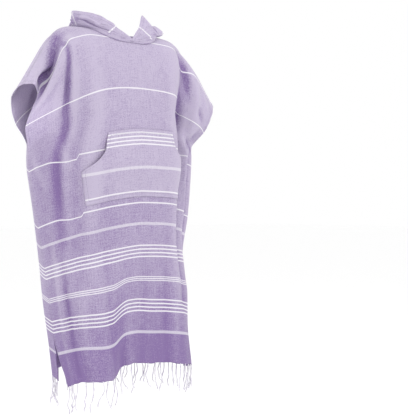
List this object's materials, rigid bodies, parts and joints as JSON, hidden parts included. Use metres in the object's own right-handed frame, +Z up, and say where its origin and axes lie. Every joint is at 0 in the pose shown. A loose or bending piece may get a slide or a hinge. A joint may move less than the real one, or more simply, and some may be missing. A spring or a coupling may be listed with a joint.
{
  "type": "hooded bath poncho",
  "caption": "Hooded bath poncho of flat-woven striped cotton, worn with its hood down, with a front pocket, open sleeves, side slits and a knotted fringe.",
  "frame": {"origin": "midway between the wearer's shoulders, at the height of the neck's base, where the poncho is held up", "axes": "+Z up, -Y the way the wearer faces, +X the wearer's left; worn, as in the left view of the picture"},
  "size_m": [0.6977, 0.3201, 1.1765],
  "materials": {
    "lilac_cloth": "flat-woven cotton, heather lilac with thin white weft stripes, soft and dull",
    "fringe_yarn": "plied cotton yarn, off-white and pale lilac, knotted"
  },
  "bodies": {
    "root": {"front_panel": "lilac_cloth", "back_panel": "lilac_cloth", "pocket": "lilac_cloth", "hood_right": "lilac_cloth", "hood_left": "lilac_cloth", "front_fringe": "fringe_yarn", "back_fringe": "fringe_yarn"}
  },
  "joints": []
}
